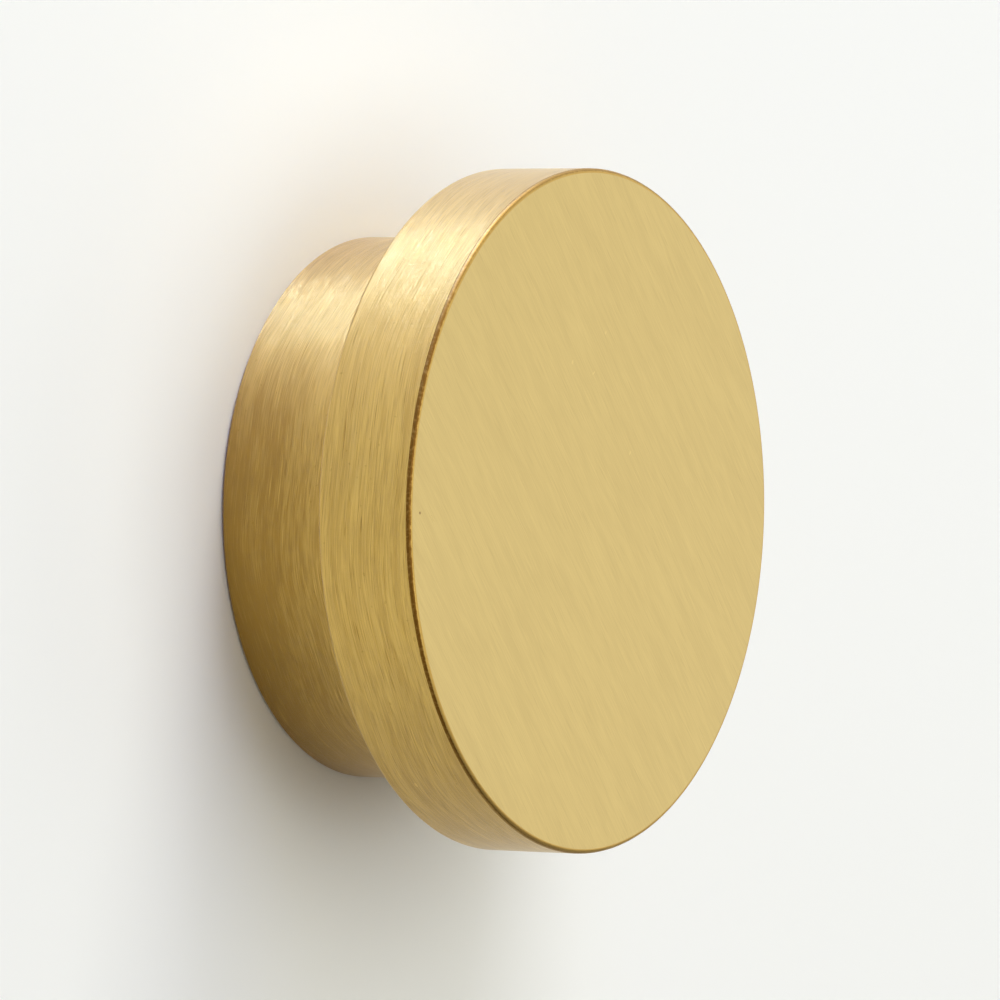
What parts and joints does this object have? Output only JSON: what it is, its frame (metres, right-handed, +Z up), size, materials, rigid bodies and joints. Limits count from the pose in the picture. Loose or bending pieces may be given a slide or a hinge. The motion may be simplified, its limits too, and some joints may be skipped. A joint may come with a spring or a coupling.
{
  "type": "cabinet knob",
  "caption": "Round cabinet knob with a flat disc head on a narrower turned base, fixed from behind by a screw in a blind tapped hole.",
  "frame": {"origin": "centre of the knob's back face, on the door's surface", "axes": "+Y into the door along the knob's axis, so the face looks along -Y; +Z up; +X to the right seen from the front"},
  "size_m": [0.045, 0.0175, 0.045],
  "materials": {
    "brass": "brushed satin brass"
  },
  "bodies": {
    "root": {"knob": "brass"}
  },
  "joints": []
}
